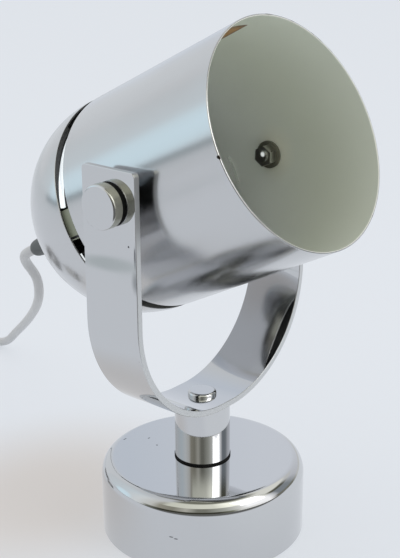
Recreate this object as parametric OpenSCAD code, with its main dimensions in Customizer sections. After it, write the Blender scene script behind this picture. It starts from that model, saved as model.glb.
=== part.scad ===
// Adjustable spot lamp: a round wall cup, a short stem, a swivelling yoke and a tilting
// cylindrical shade with a domed back, clamped by a knob on each side.
// Units are millimetres. +Z is up, the cup's mounting rim lies at z = 0, the stem is on
// the Z axis, the tilt pivot runs along X and the shade looks towards -Y and upwards.

/* [Base cup] */
// outer radius of the wall cup
base_r = 44.5; // [42:0.5:48]
// height of the wall cup
base_h = 32.8; // [31:0.2:36]
// sheet thickness of the wall cup
base_wall = 1.2; // [1:0.1:1.6]
// outer radius of the cup's rounded top edge
base_edge = 5.6; // [4.5:0.1:7]

/* [Wall bracket] */
// thickness of the bracket strip
bracket_t = 2; // [1.6:0.1:2.4]
// width of the bracket strip
bracket_w = 18; // [16:0.5:20]
// half length of the bracket's raised middle
bracket_half = 24; // [22:0.5:25]
// distance between the two wall screw slots
slot_spacing = 64; // [60:1:66]
// width of a wall screw slot
slot_w = 4.5; // [4:0.1:5]
// end to end length of a wall screw slot
slot_len = 10; // [8:0.5:11]

/* [Stem] */
// outer radius of the stem tube
stem_r = 12.05; // [11:0.05:13]
// wall of the stem tube
stem_wall = 1.5; // [1.2:0.1:2]
// height of the washer under the stem
stem_washer_t = 0.75; // [0.6:0.05:1]
// height of the stem tube up to the yoke
stem_h = 25.6; // [24:0.1:28]
// radius of the swivel screw's shank
swivel_screw_r = 3; // [2.5:0.1:3.5]
// length of the swivel screw's shank
swivel_screw_len = 40; // [39:0.5:41]
// radius of the swivel screw's round head
swivel_head_r = 6.2; // [5.8:0.1:6.6]
// height of the swivel screw's round head
swivel_head_h = 1.9; // [1.6:0.1:2.6]

/* [Yoke] */
// space between the shade and each of the yoke's arms
side_gap = 4.3; // [4:0.1:5.6]
// width of the yoke strip
yoke_w = 27.5; // [25:0.5:29]
// thickness of the yoke strip
yoke_t = 2.2; // [2:0.1:2.4]
// half length of the flat at the yoke's bottom
yoke_flat = 3.2; // [2:0.1:5]
// how far the arms run on above the pivot
yoke_above = 14; // [12:0.5:16]
// radius of the arms' rounded top corners
yoke_corner = 2; // [1.5:0.1:3]

/* [Head] */
// free space between the swinging dome and the yoke's bottom
dome_clear = 13.5; // [12:0.05:16]
// angle of the head above the horizontal
tilt = 27.2; // [20:0.1:35]
// outer radius of the shade tube and dome
shade_r = 47.5; // [47:0.1:47.8]
// sheet thickness of the shade
shade_wall = 0.8; // [0.7:0.05:1]
// from the pivot forward to the mouth
mouth_len = 54.5; // [52:0.5:58]
// from the pivot back to the tube's rear rim
tube_back = 29.7; // [29:0.1:31]
// open vent gap between tube and dome
vent_gap = 5.4; // [5:0.05:5.8]
// straight skirt in front of the round of the dome
dome_skirt = 1.5; // [1.3:0.1:2]

/* [Knobs and pivots] */
// radius of a knob
knob_r = 8.86; // [8:0.1:10]
// thickness of a knob
knob_t = 4.6; // [4.2:0.1:5.6]
// thickness of the black washer behind a knob
knob_washer_t = 1.1; // [0.9:0.05:1.3]
// radius of the black washer behind a knob
knob_washer_r = 8.7; // [8:0.1:8.8]
// radius of a pivot stud
stud_r = 2.5; // [2:0.1:2.6]
// radius of the spacer bush between shade and yoke
bush_r = 4.6; // [4:0.1:5.5]
// radius of the washer inside the shade
inner_washer_r = 6; // [5:0.1:6.5]
// thickness of the washer inside the shade
inner_washer_t = 1; // [0.8:0.1:1.2]
// width across flats of the nut inside the shade
inner_nut_af = 8; // [7:0.1:8.5]
// height of the nut inside the shade
inner_nut_h = 4; // [3.5:0.1:4.5]

/* [Lampholder] */
// outer radius of the lampholder body
holder_r = 20; // [19:0.5:21]
// inner radius of the lampholder's threaded shell
socket_r = 13.25; // [13:0.05:13.5]
// from the pivot back to the lampholder's front
holder_front = 16; // [14:0.5:18]
// length of the lampholder body
holder_len = 40; // [38:0.5:41]
// radius of the hollow threaded tube at the rear
nipple_r = 5; // [4.8:0.1:5.2]

/* [Cord] */
// diameter of the cord
cord_d = 4.8; // [4.4:0.1:5]
// length of the strain relief sleeve beyond the dome
sleeve_len = 30.9; // [27:0.1:32]

/* [Hidden] */
$fn = 96;
eps = 0.01;
run = 0.05;          // radial clearance of a turning fit
face_gap = 0.05;     // clearance between faces that slide on each other
seat = 0.1;          // clearance of a bolt in a fixed hole

// heights up the stem
cup_under = base_h - base_wall;
washer_z = base_h + face_gap;
stem_z = washer_z + stem_washer_t;
yoke_z = stem_z + stem_h;
yoke_in_z = yoke_z + yoke_t;
yoke_in = shade_r + side_gap;
yoke_half = yoke_in + yoke_t;
yoke_r = yoke_half - yoke_flat;
yoke_cz = yoke_z + yoke_r;
dome_reach = tube_back + vent_gap + dome_skirt + shade_r;
pivot_h = yoke_in_z + dome_reach + dome_clear;
yoke_top = pivot_h + yoke_above;
bracket_z = cup_under - bracket_t;
spring_t = 1.6;
spring_z = bracket_z - face_gap - spring_t;
swivel_nut_h = 6;
swivel_nut_z = spring_z - swivel_nut_h;
swivel_nut_af = 10;

// head, along its own axis from the pivot: forward is positive
shade_in = shade_r - shade_wall;
dome_front = -tube_back - vent_gap;
dome_c = dome_front - dome_skirt;
dome_apex = dome_c - shade_r;
ring_out = shade_in - 2.1;
ring_t = 0.8;
ring_front = dome_front + 2.1;
flange_front = dome_c + 0.7;
flange_back = dome_c + 0.1;
ring_gaps = [[56, 124], [170.8, 196], [-16, 8.8]];
tab_t = 1.5;
tab_w = 12;
tab_out = shade_in - 1;
tab_front = -tube_back + 8;
plate_front = dome_c - 7.8;
plate_back = plate_front - tab_t;
plate_r = holder_r + 7;
front_z = -holder_front;
holder_back = front_z - holder_len;
shell_t = 0.5;
shell_len = 28;
shell_lip = 2;
shell_front = front_z - shell_lip;
shell_back = shell_front - shell_len;
contact_r = 3.5;
contact_h = 1.8;
well_r = 9;
contact_z = shell_back - 2;
flange_t = 3.5;
ring_h = 5;
cap_len = 14;
cap_back = holder_back - cap_len;
cap_wall = 2;
cap_side = 4;
cap_neck_r = 9;
cap_floor = 3.4;
nipple_bore = 3.2;
nipple_in_sleeve = 8.5;
nipple_front = cap_back + 3;
nipple_back = dome_apex - nipple_in_sleeve;
dome_nut_af = 14;
dome_nut_h = 3;
dome_in = shade_in;
dome_nut_r = dome_nut_af / 2 / cos(30);
dome_nut_z = dome_c - sqrt(dome_in * dome_in - dome_nut_r * dome_nut_r) + 0.02;
sleeve_end = dome_apex - sleeve_len;
sleeve_bore = cord_d / 2;
sleeve_tip_r = cord_d / 2 + 1.4;
sleeve_foot_r = nipple_r + 4;
sleeve_foot_h = 3;
sleeve_neck_r = nipple_r + 1.6;

// pivots, along X
washer_x = sqrt(shade_in * shade_in - inner_washer_r * inner_washer_r);
nut_x = washer_x - inner_washer_t;
stud_in_x = nut_x - inner_nut_h - 0.9;
bush_x = yoke_in - face_gap;
knob_x = yoke_half + knob_washer_t + face_gap;
knob_bore_len = knob_t - 1.4;
stud_out_x = knob_x + knob_bore_len - 0.2;

// cord lying on the surface: coil of four layers, then the tail to the plug
cr = cord_d / 2;
floor_z = cr + 0.02;
coil_x = -28;
coil_y = 227;
coil_r = 33;
coil_step = cord_d + 0.62;
coil_turns = 8.25;
coil_layers = 4;
coil_seg = 24;
coil_sides = 6;
plug_t = 13.7;
plug_w = 35.3;
plug_len = 36;
neck_len = 22;
pin_r = 2;
pin_len = 19;
pin_gap = 18.6;
pin_in = 6;
pin_root_r = 1.6;
pin_tip = 0.8;
tail_run = 34;

module at_head() { translate([0, 0, pivot_h]) rotate([90 - tilt, 0, 0]) children(); }
module tube(r, ri, z0, z1) {
    difference() {
        translate([0, 0, z0]) cylinder(r = r, h = z1 - z0);
        translate([0, 0, z0 - 1]) cylinder(r = ri, h = z1 - z0 + 2);
    }
}
module cyl(r, z0, z1) { translate([0, 0, z0]) cylinder(r = r, h = z1 - z0); }
// round bar along X from x0 to x1
module bar(r, x0, x1) { translate([x0, 0, 0]) rotate([0, 90, 0]) cylinder(r = r, h = x1 - x0); }
// hexagonal bar along Z
module hex(af, z0, z1) { translate([0, 0, z0]) cylinder(r = af / 2 / cos(30), h = z1 - z0, $fn = 6); }

// cup body with a rounded upper edge
module cup_form(r, h, e) {
    cyl(r, -1, h - e);
    cyl(r - e, -1, h);
    translate([0, 0, h - e]) rotate_extrude() translate([r - e, 0]) circle(r = e);
}
module base_cup() {
    color("silver") difference() {
        intersection() {
            cup_form(base_r, base_h, base_edge);
            cyl(base_r + 1, 0, base_h + 1);
        }
        cup_form(base_r - base_wall, cup_under, base_edge - base_wall);
        cyl(swivel_screw_r + run, cup_under - 2, base_h + 1);
    }
}
module slot_cut(x) {
    d = slot_len / 2 - slot_w / 2;
    for (s = [-1, 1]) translate([x + s * d, 0, -1]) cylinder(r = slot_w / 2, h = bracket_t + 2);
    translate([x - d, -slot_w / 2, -1]) cube([2 * d, slot_w, bracket_t + 2]);
}
module wall_bracket() {
    foot_x = slot_spacing / 2 + slot_len / 2 + 3.5;
    color("lightgray") difference() {
        union() {
            translate([-bracket_half, -bracket_w / 2, bracket_z])
                cube([2 * bracket_half, bracket_w, bracket_t]);
            for (s = [-1, 1]) {
                translate([s > 0 ? bracket_half - bracket_t : -bracket_half, -bracket_w / 2, 0])
                    cube([bracket_t, bracket_w, cup_under - bracket_t / 2]);
                translate([s > 0 ? bracket_half - bracket_t : -foot_x, -bracket_w / 2, 0])
                    cube([foot_x - bracket_half + bracket_t, bracket_w, bracket_t]);
            }
        }
        for (s = [-1, 1]) slot_cut(s * slot_spacing / 2);
        cyl(swivel_screw_r + run, bracket_z - 1, cup_under + 1);
    }
}
module stem_washer() { color("black") tube(stem_r + 0.25, swivel_screw_r + seat, washer_z, stem_z); }
// outer form of the bent yoke strip, filled
module yoke_fill(half, r, flat, w, top) {
    cz = yoke_cz;
    rotate([90, 0, 0]) translate([0, 0, -w / 2]) {
        for (s = [-1, 1]) translate([s * flat, cz, 0]) cylinder(r = r, h = w);
        translate([-flat, cz - r, 0]) cube([2 * flat, r, w]);
        translate([-half, cz, 0]) cube([2 * half, top - cz, w]);
    }
}
module stem() {
    color("silver") difference() {
        tube(stem_r, stem_r - stem_wall, stem_z, yoke_z + 2);
        yoke_fill(yoke_half, yoke_r, yoke_flat, 4 * stem_r, yoke_top);
    }
}
module yoke() {
    c = yoke_corner;
    color("silver") difference() {
        yoke_fill(yoke_half, yoke_r, yoke_flat, yoke_w, yoke_top);
        yoke_fill(yoke_in, yoke_r - yoke_t, yoke_flat, yoke_w + 2, yoke_top + 1);
        cyl(swivel_screw_r + seat, yoke_z - 1, yoke_in_z + 2);
        cyl(swivel_head_r + 0.2, yoke_in_z, yoke_in_z + 4);
        translate([0, 0, pivot_h]) bar(stud_r + run, -yoke_half - 1, yoke_half + 1);
        for (s = [-1, 1]) difference() {
            translate([-yoke_half - 1, s > 0 ? yoke_w / 2 - c : -yoke_w / 2 - 1, yoke_top - c])
                cube([2 * yoke_half + 2, c + 1, c + 1]);
            translate([0, s * (yoke_w / 2 - c), yoke_top - c]) bar(c, -yoke_half - 2, yoke_half + 2);
        }
    }
}
module yoke_screw() {
    b = swivel_head_h / 6;
    color("silver") {
        cyl(swivel_screw_r, yoke_in_z - swivel_screw_len, yoke_in_z + eps);
        cyl(swivel_head_r, yoke_in_z, yoke_in_z + swivel_head_h - b);
        translate([0, 0, yoke_in_z + swivel_head_h - b])
            cylinder(r1 = swivel_head_r, r2 = swivel_head_r - b, h = b);
    }
}
module swivel_nut() {
    color("silver") difference() {
        hex(swivel_nut_af, swivel_nut_z, spring_z);
        cyl(swivel_screw_r, swivel_nut_z - 1, spring_z + 1);
    }
}
module swivel_spring_washer() {
    color("gray") difference() {
        tube(swivel_nut_af / 2 + 0.9, swivel_screw_r + seat, spring_z, spring_z + spring_t);
        translate([0, -0.6, spring_z - 1]) cube([swivel_nut_af, 1.2, spring_t + 2]);
    }
}
module shade_tube() {
    color("silver") at_head() difference() {
        tube(shade_r, shade_in, -tube_back, mouth_len);
        bar(stud_r + seat, -shade_r - 1, shade_r + 1);
    }
}
module dome_form(r, front) {
    cyl(r, dome_c, front);
    intersection() {
        translate([0, 0, dome_c]) sphere(r = r);
        cyl(r + 1, dome_c - r - 1, dome_c + eps);
    }
}
module rear_dome() {
    color("silver") at_head() difference() {
        dome_form(shade_r, dome_front);
        dome_form(shade_in, dome_front + 1);
        cyl(nipple_r + seat, dome_apex - 1, dome_apex + 3);
    }
}
// wedge about the head's axis from angle a0 to a1, less than 180 degrees wide
module wedge(a0, a1, z0, z1) {
    q = 2 * shade_r;
    am = (a0 + a1) / 2;
    translate([0, 0, z0]) linear_extrude(height = z1 - z0)
        polygon([[0, 0], [q * cos(a0), q * sin(a0)], [1.3 * q * cos(am), 1.3 * q * sin(am)],
            [q * cos(a1), q * sin(a1)]]);
}
module vent_ring() {
    color("white") at_head() difference() {
        union() {
            tube(ring_out, ring_out - ring_t, flange_back, ring_front);
            tube(shade_in, ring_out - ring_t, flange_back, flange_front);
        }
        for (a = ring_gaps) wedge(a[0], a[1], flange_back - 1, ring_front + 1);
    }
}
module holder_bridge() {
    color("lightgray") at_head() {
        intersection() {
            union() {
                tube(tab_out, tab_out - tab_t, plate_back, -tube_back + 3);
                tube(shade_in, shade_in - tab_t, -tube_back + 1, tab_front);
            }
            translate([-shade_r, -tab_w / 2, plate_back]) cube([2 * shade_r, tab_w, shade_r]);
        }
        difference() {
            union() {
                intersection() {
                    translate([-shade_r, -tab_w / 2, plate_back]) cube([2 * shade_r, tab_w, tab_t]);
                    cyl(tab_out - tab_t / 2, plate_back, plate_front);
                }
                cyl(plate_r, plate_back, plate_front);
            }
            cyl(holder_r, plate_back - 1, plate_front + 1);
        }
    }
}
module lampholder_body() {
    color("black") at_head() difference() {
        union() {
            cyl(holder_r, holder_back, front_z);
            cyl(holder_r + 2.5, plate_back - flange_t, plate_back);
        }
        cyl(socket_r + shell_t, shell_back, front_z + 1);
        cyl(socket_r + shell_t + 0.7, shell_front, front_z + 1);
        cyl(well_r, contact_z, shell_back + 1);
    }
}
module lampholder_ring() {
    color("black") at_head() difference() {
        tube(holder_r + 4.5, holder_r, plate_front, plate_front + ring_h);
        for (a = [0 : 30 : 359]) rotate([0, 0, a])
            translate([holder_r + 5.4, 0, plate_front - 1]) cylinder(r = 1.8, h = ring_h + 2, $fn = 32);
    }
}
module lampholder_cap() {
    color("black") at_head() difference() {
        union() {
            cyl(holder_r, holder_back - cap_side, holder_back);
            translate([0, 0, cap_back]) cylinder(r1 = cap_neck_r, r2 = holder_r, h = cap_len - cap_side);
        }
        cyl(holder_r - cap_wall, holder_back - cap_side, holder_back + 1);
        translate([0, 0, cap_back + cap_floor]) cylinder(r1 = cap_neck_r - 1.5, r2 = holder_r - cap_wall,
            h = cap_len - cap_side - cap_floor + eps);
        cyl(nipple_r, cap_back - 1, cap_back + cap_floor + 1);
    }
}
module socket_shell() { color("gold") at_head() tube(socket_r + shell_t, socket_r, shell_back, shell_front); }
module centre_contact() {
    color("gold") at_head() {
        cyl(contact_r, contact_z, contact_z + contact_h / 2);
        cyl(contact_r * 0.6, contact_z, contact_z + contact_h);
    }
}
module nipple() { color("gold") at_head() tube(nipple_r, nipple_bore, nipple_back, nipple_front); }
module dome_nut() {
    color("gold") at_head() difference() {
        hex(dome_nut_af, dome_nut_z, dome_nut_z + dome_nut_h);
        cyl(nipple_r, dome_nut_z - 1, dome_nut_z + dome_nut_h + 1);
    }
}
module strain_relief() {
    z = dome_apex;
    color("dimgray") at_head() difference() {
        rotate_extrude() polygon([[sleeve_bore, z + 2], [sleeve_foot_r, z + 2],
            [sleeve_foot_r, z - sleeve_foot_h], [sleeve_foot_r - 0.8, z - sleeve_foot_h - 1],
            [sleeve_neck_r, z - sleeve_foot_h - 2], [sleeve_tip_r + 0.1, sleeve_end + 2.4],
            [sleeve_tip_r - 0.3, sleeve_end + 1], [sleeve_tip_r - 1, sleeve_end], [sleeve_bore, sleeve_end]]);
        translate([0, 0, dome_c]) sphere(r = shade_r);
        cyl(nipple_r, nipple_back, z + 3);
    }
}
module inner_cord() { color("white") at_head() cyl(cr, sleeve_end + 0.1, cap_back + 6); }

module pivot_studs() {
    color("silver") at_head() {
        bar(stud_r, -stud_out_x, -stud_in_x);
        bar(stud_r, stud_in_x, stud_out_x);
    }
}
module pivot_bushes() {
    color("dimgray") at_head() difference() {
        union() {
            bar(bush_r, -bush_x, -shade_r + 1);
            bar(bush_r, shade_r - 1, bush_x);
        }
        cyl(shade_r, -2 * bush_r, 2 * bush_r);
        bar(stud_r, -bush_x - 1, bush_x + 1);
    }
}
module inner_washers() {
    color("gray") at_head() difference() {
        union() {
            bar(inner_washer_r, -washer_x, -nut_x);
            bar(inner_washer_r, nut_x, washer_x);
        }
        bar(stud_r, -washer_x - 1, washer_x + 1);
    }
}
module inner_nuts() {
    color("silver") at_head() difference() {
        for (s = [-1, 1]) translate([s > 0 ? nut_x - inner_nut_h : -nut_x, 0, 0]) rotate([0, 90, 0])
            hex(inner_nut_af, 0, inner_nut_h);
        bar(stud_r, -washer_x - 1, washer_x + 1);
    }
}
module knob_washers() {
    color("black") translate([0, 0, pivot_h]) difference() {
        union() {
            bar(knob_washer_r, -yoke_half - knob_washer_t, -yoke_half);
            bar(knob_washer_r, yoke_half, yoke_half + knob_washer_t);
        }
        bar(stud_r + run, -yoke_half - 3, yoke_half + 3);
    }
}
// knob standing on its inner face, blind hole below
module knob_form() {
    b = 0.7;
    difference() {
        rotate_extrude() polygon([[0, 0], [knob_r - 0.3, 0], [knob_r, 0.3], [knob_r, knob_t - b],
            [knob_r - 0.2, knob_t - b * 0.3], [knob_r - b, knob_t], [0, knob_t]]);
        cyl(stud_r + run, -1, knob_bore_len);
    }
}
module knob_left() { color("silver") translate([-knob_x, 0, pivot_h]) rotate([0, -90, 0]) knob_form(); }
module knob_right() { color("silver") translate([knob_x, 0, pivot_h]) rotate([0, 90, 0]) knob_form(); }

// a tube swept along points: pts centre points, sides, r radius
function unit(v) = v / norm(v);
function tang(p, i) = i == 0 ? unit(p[1] - p[0])
    : i == len(p) - 1 ? unit(p[i] - p[i - 1]) : unit(unit(p[i + 1] - p[i]) + unit(p[i] - p[i - 1]));
function side0(t) = unit(cross(t, abs(t[2]) < 0.9 ? [0, 0, 1] : [1, 0, 0]));
function carry(n, t) = unit(n - (n * t) * t);
function frames(p, i = 0, n = undef) = i == len(p) ? []
    : let (t = tang(p, i), m = i == 0 ? side0(t) : carry(n, t)) concat([[m, cross(t, m)]], frames(p, i + 1, m));
function ring_pts(c, f, r, k, ph) = [for (j = [0 : k - 1]) let (a = ph + 360 * j / k)
    c + r * (cos(a) * f[0] + sin(a) * f[1])];
module sweep(p, r, k, ph = 0) {
    f = frames(p);
    n = len(p);
    pts = [for (i = [0 : n - 1]) each ring_pts(p[i], f[i], r, k, ph)];
    faces = concat([[for (j = [0 : k - 1]) j]],
        [for (i = [0 : n - 2]) for (j = [0 : k - 1]) let (a = i * k + j, b = i * k + (j + 1) % k)
            each [[a, a + k, b], [b, a + k, b + k]]],
        [[for (j = [k - 1 : -1 : 0]) (n - 1) * k + j]]);
    polyhedron(points = pts, faces = faces, convexity = 10);
}
// smooth curve through points, m steps a span
function spl(a, b, c, d, t) = 0.5 * (2 * b + (c - a) * t + (2 * a - 5 * b + 4 * c - d) * t * t
    + (3 * b - a - 3 * c + d) * t * t * t);
function curve(q, m) = let (n = len(q)) [for (i = [0 : n - 2]) for (k = [0 : m - 1])
    spl(i == 0 ? 2 * q[0] - q[1] : q[i - 1], q[i], q[i + 1],
        i == n - 2 ? 2 * q[n - 1] - q[n - 2] : q[i + 2], k / m), q[n - 1]];

// route of the cord: out of the sleeve, down to the surface, round to the coil
exit_len = -sleeve_end + 0.05;
exit_dir = [0, cos(tilt), -sin(tilt)];
exit_pt = [0, 0, pivot_h] + exit_len * exit_dir;
coil_top = coil_y + coil_r;
run_pts = [exit_pt, exit_pt + 5 * exit_dir, [2.4, 112.6, 100.2], [8.4, 118.2, 94], [17, 121.4, 83.4],
    [23.8, 127.6, 72], [34, 141, 59.5], [46.5, 159, 46.3], [58.5, 178.5, 32.6], [68, 198, 18.8],
    [74.5, 214, 7.2], [76.8, 227, floor_z], [77, 238, floor_z], [75.3, 246.4, floor_z],
    [70.6, 253.6, floor_z], [63.4, 258.3, floor_z], [55, coil_top, floor_z], [40, coil_top, floor_z],
    [25, coil_top, floor_z], [10, coil_top, floor_z], [-6, coil_top, floor_z],
    [coil_x + cord_d, coil_top, floor_z]];
run_curve = curve(run_pts, 2);
module cord_run() { color("white") sweep(run_curve, cr, 10); }

// coil: the spiral goes in, out, in and out again and climbs where it turns round
layer_turns = coil_turns / coil_layers;
function tri(u) = let (v = u - 2 * floor(u / 2)) v <= 1 ? v : 2 - v;
function ease(x) = x <= 0 ? 0 : x >= 1 ? 1 : x * x * (3 - 2 * x);
function climb(w) = ease((w - layer_turns + 0.25) / 0.5) + ease((w - 2 * layer_turns + 0.25) / 0.5)
    + ease((w - 3 * layer_turns + 0.25) / 0.5);
function coil_rad(w) = coil_r - coil_step * layer_turns * tri(w / layer_turns);
function coil_pt(w) = [coil_x + coil_rad(w) * cos(90 + 360 * w), coil_y + coil_rad(w) * sin(90 + 360 * w),
    floor_z + coil_step * climb(w)];
coil_n = round(coil_turns * coil_seg);
coil_a = coil_pt(0);
coil_b = coil_pt(coil_turns);
coil_curve = concat([coil_a + [cord_d, 0, 0]], [for (i = [0 : coil_n]) coil_pt(coil_turns * i / coil_n)],
    [coil_b - [0, cord_d, 0]]);
module cord_coil() { color("white") sweep(coil_curve, cr, coil_sides, 30); }
// least distance of the coil's centre line to itself, more than half a turn apart
coil_gap = min([for (i = [0 : coil_n]) for (j = [i + 12 : 1 : coil_n])
    norm(coil_curve[i + 1] - coil_curve[j + 1])]) - cord_d;
echo(coil_gap = coil_gap);

// tail: down from the top layer to the plug that lies flat
plug_z = plug_t / 2;
plug_x = coil_b[0];
tail_y = coil_b[1] - cord_d;
plug_y = tail_y - tail_run;
tail_pts = [for (i = [0 : 8]) let (u = i / 8) [plug_x, tail_y - tail_run * u,
    coil_b[2] + (plug_z - coil_b[2]) * ease((u - 0.08) / 0.84)]];
module cord_tail() { color("white") sweep(tail_pts, cr, 10); }
module plug_body() {
    body_y = plug_y - neck_len;
    w = plug_w / 2;
    color("white") translate([plug_x, 0, 0]) difference() {
        union() {
            translate([0, plug_y, plug_z]) rotate([90, 0, 0])
                cylinder(r1 = cr + 0.9, r2 = 4.6, h = neck_len + 1);
            translate([0, 0, 0]) linear_extrude(height = plug_t) polygon([[-5, body_y], [5, body_y],
                [w - 3, body_y - 9], [w, body_y - 14], [w, body_y - plug_len + 2], [w - 2, body_y - plug_len],
                [2 - w, body_y - plug_len], [-w, body_y - plug_len + 2], [-w, body_y - 14],
                [3 - w, body_y - 9]]);
        }
        for (s = [-1, 1]) translate([s * pin_gap / 2, body_y - plug_len + pin_in, plug_z])
            rotate([90, 0, 0]) cylinder(r = pin_root_r, h = pin_in + 1, $fn = 48);
    }
}
module plug_pins() {
    y0 = plug_y - neck_len - plug_len;
    color("silver") for (s = [-1, 1]) translate([plug_x + s * pin_gap / 2, y0 + pin_in, plug_z])
        rotate([90, 0, 0]) {
            cylinder(r = pin_root_r, h = pin_in + 1, $fn = 48);
            translate([0, 0, pin_in]) cylinder(r = pin_r, h = pin_len - pin_tip, $fn = 48);
            translate([0, 0, pin_in + pin_len - pin_tip])
                cylinder(r1 = pin_r, r2 = pin_r - pin_tip, h = pin_tip, $fn = 48);
        }
}

base_cup();
wall_bracket();
stem_washer();
stem();
yoke();
yoke_screw();
swivel_nut();
swivel_spring_washer();
shade_tube();
rear_dome();
vent_ring();
holder_bridge();
lampholder_body();
lampholder_ring();
lampholder_cap();
socket_shell();
centre_contact();
nipple();
dome_nut();
strain_relief();
inner_cord();
pivot_studs();
pivot_bushes();
inner_washers();
inner_nuts();
knob_washers();
knob_left();
knob_right();
cord_run();
cord_coil();
cord_tail();
plug_body();
plug_pins();
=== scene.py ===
"""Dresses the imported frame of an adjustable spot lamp."""

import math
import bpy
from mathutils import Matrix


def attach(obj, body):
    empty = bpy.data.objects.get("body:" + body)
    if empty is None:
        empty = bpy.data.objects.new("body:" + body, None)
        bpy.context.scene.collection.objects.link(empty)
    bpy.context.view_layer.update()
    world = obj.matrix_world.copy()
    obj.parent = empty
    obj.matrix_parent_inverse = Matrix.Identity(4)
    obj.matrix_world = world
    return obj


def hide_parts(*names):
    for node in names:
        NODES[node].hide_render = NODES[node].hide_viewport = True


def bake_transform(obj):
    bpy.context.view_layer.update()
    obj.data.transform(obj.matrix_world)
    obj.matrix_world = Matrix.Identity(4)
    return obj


bl_info = {
    "name": "Adjustable spot lamp",
    "version": (1, 0, 0),
    "blender": (4, 5, 0),
    "location": "View3D > Sidebar > Spot Lamp",
    "description": "Builds the polished shells, cord and stage round the lamp's frame",
    "category": "Object",
}

import bmesh
import bpy
from bpy.props import FloatProperty, FloatVectorProperty, PointerProperty
from mathutils import Matrix, Vector

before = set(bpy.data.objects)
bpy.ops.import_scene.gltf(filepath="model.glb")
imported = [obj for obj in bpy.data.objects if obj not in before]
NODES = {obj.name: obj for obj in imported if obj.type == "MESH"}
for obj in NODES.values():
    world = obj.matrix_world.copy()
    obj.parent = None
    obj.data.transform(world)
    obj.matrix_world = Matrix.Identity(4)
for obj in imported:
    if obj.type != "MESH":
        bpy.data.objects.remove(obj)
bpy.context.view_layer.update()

MM = 0.001
TILT = math.radians(27.2)
PIVOT_HEIGHT = 159.0  # in millimetres
PIVOT = Vector((0.0, 0.0, PIVOT_HEIGHT * MM))
HEAD = Matrix.Translation(PIVOT) @ Matrix.Rotation(math.pi / 2 - TILT, 4, "X")
AHEAD = Vector((0.0, -math.cos(TILT), math.sin(TILT)))
UPWARD = Vector((0.0, math.sin(TILT), math.cos(TILT)))
SHARP = math.radians(32)  # an edge that bends more is crisp
SLIGHT = 0.05  # an edge that bends less stays smooth, in radians
BROAD = 5  # a face this many times its neighbour's area is broad
MERGE = 1e-7  # points closer than this are one, in metres
ROUND_STEPS = 4  # facets of a rounded corner in a profile


# marks seen in the photograph: centre and half sizes in millimetres
CHROME_MARKS = (
    ((-11.6, 36.0, 32.8), (1.0, 0.3, 0.4)), ((-4.0, 28.3, 32.8), (0.7, 0.3, 0.4)),
    ((-6.8, 20.9, 32.8), (0.4, 0.5, 0.4)), ((-27.3, 30.8, 32.8), (0.4, 0.9, 0.4)),
    ((-41.0, -17.3, 16.4), (0.6, 1.1, 0.25)), ((-40.2, -19.2, 15.8), (0.6, 1.0, 0.25)),
    ((-54.0, -9.9, 144.2), (0.5, 0.45, 0.45)), ((-54.0, -12.9, 141.3), (0.5, 0.2, 2.8)),
)
RIM_CHIPS = (
    ((31.2, -32.1, 215.8), (1.2, 0.8, 0.8)), ((34.3, -33.4, 213.1), (1.4, 0.8, 1.2)),
    ((38.5, -35.8, 208.6), (1.2, 0.7, 1.2)), ((46.6, -44.3, 192.1), (0.6, 0.9, 1.4)),
    ((47.1, -45.7, 189.4), (0.6, 0.8, 1.0)), ((47.5, -48.7, 183.4), (0.6, 0.6, 0.9)),
    ((47.4, -50.0, 181.0), (0.6, 0.5, 0.7)), ((25.7, -66.7, 148.4), (0.9, 0.5, 0.6)),
    ((-47.5, -48.7, 183.5), (0.9, 1.3, 0.7)), ((11.5, -27.0, 225.4), (5.0, 0.45, 0.7)),
    ((21.6, -29.1, 221.5), (1.2, 0.5, 0.6)),
)
# painted dark reflections on the near arm
ARM_DARK_REFLECTIONS = (((-54.0, -13.6, 130.5), (0.6, 3.4, 6.5)), ((-54.0, -13.0, 140.0), (0.6, 0.8, 7.0)))
# painted dark reflections: darker places of the floor beside the lamp that only its mirrored sides show
FLOOR_MIRRORED_DARK = (
    ((-338.0, 279.0, 0.0), (15.0, 34.0, 10.0)), ((-352.0, 235.0, 0.0), (26.0, 40.0, 10.0)),
    ((-318.0, 168.0, 0.0), (40.0, 40.0, 10.0)),
)
# the room's colour by azimuth, from behind round by the left side and the front
ROOM = (
    (0.0, (0.76, 0.80, 0.83)), (0.09, (0.79, 0.88, 0.93)), (0.15, (0.90, 0.94, 0.95)),
    (0.20, (0.78, 0.78, 0.74)), (0.225, (0.42, 0.40, 0.33)), (0.27, (0.34, 0.33, 0.27)),
    (0.31, (0.60, 0.59, 0.52)), (0.345, (0.26, 0.26, 0.22)), (0.37, (0.26, 0.26, 0.22)),
    (0.43, (0.55, 0.56, 0.50)), (0.475, (0.95, 0.95, 0.90)), (0.50, (1.5, 1.5, 1.5)),
    (0.575, (1.4, 1.4, 1.4)), (0.615, (0.28, 0.31, 0.34)), (0.67, (0.30, 0.33, 0.35)),
    (0.72, (0.68, 0.70, 0.74)), (0.85, (0.83, 0.87, 0.94)), (0.875, (0.72, 0.78, 0.87)),
    (0.93, (0.80, 0.83, 0.86)),
)
# the front half of the room again, near the horizon and high up
ROOM_LOW = (
    (0.18, (0.30, 0.31, 0.26)), (0.23, (0.05, 0.05, 0.035)), (0.41, (0.05, 0.05, 0.035)),
    (0.45, (0.26, 0.27, 0.20)), (0.475, (0.95, 0.95, 0.90)), (0.575, (1.4, 1.4, 1.4)),
    (0.605, (0.24, 0.24, 0.20)), (0.68, (0.24, 0.24, 0.20)), (0.72, (0.70, 0.71, 0.70)),
)
ROOM_HIGH = (
    (0.16, (0.95, 1.00, 0.93)), (0.25, (0.86, 0.87, 0.74)), (0.40, (1.0, 1.0, 0.86)),
    (0.45, (1.5, 1.5, 1.3)), (0.575, (1.45, 1.45, 1.35)), (0.61, (0.13, 0.13, 0.10)),
    (0.68, (0.13, 0.13, 0.10)), (0.72, (0.72, 0.73, 0.72)),
)
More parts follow.
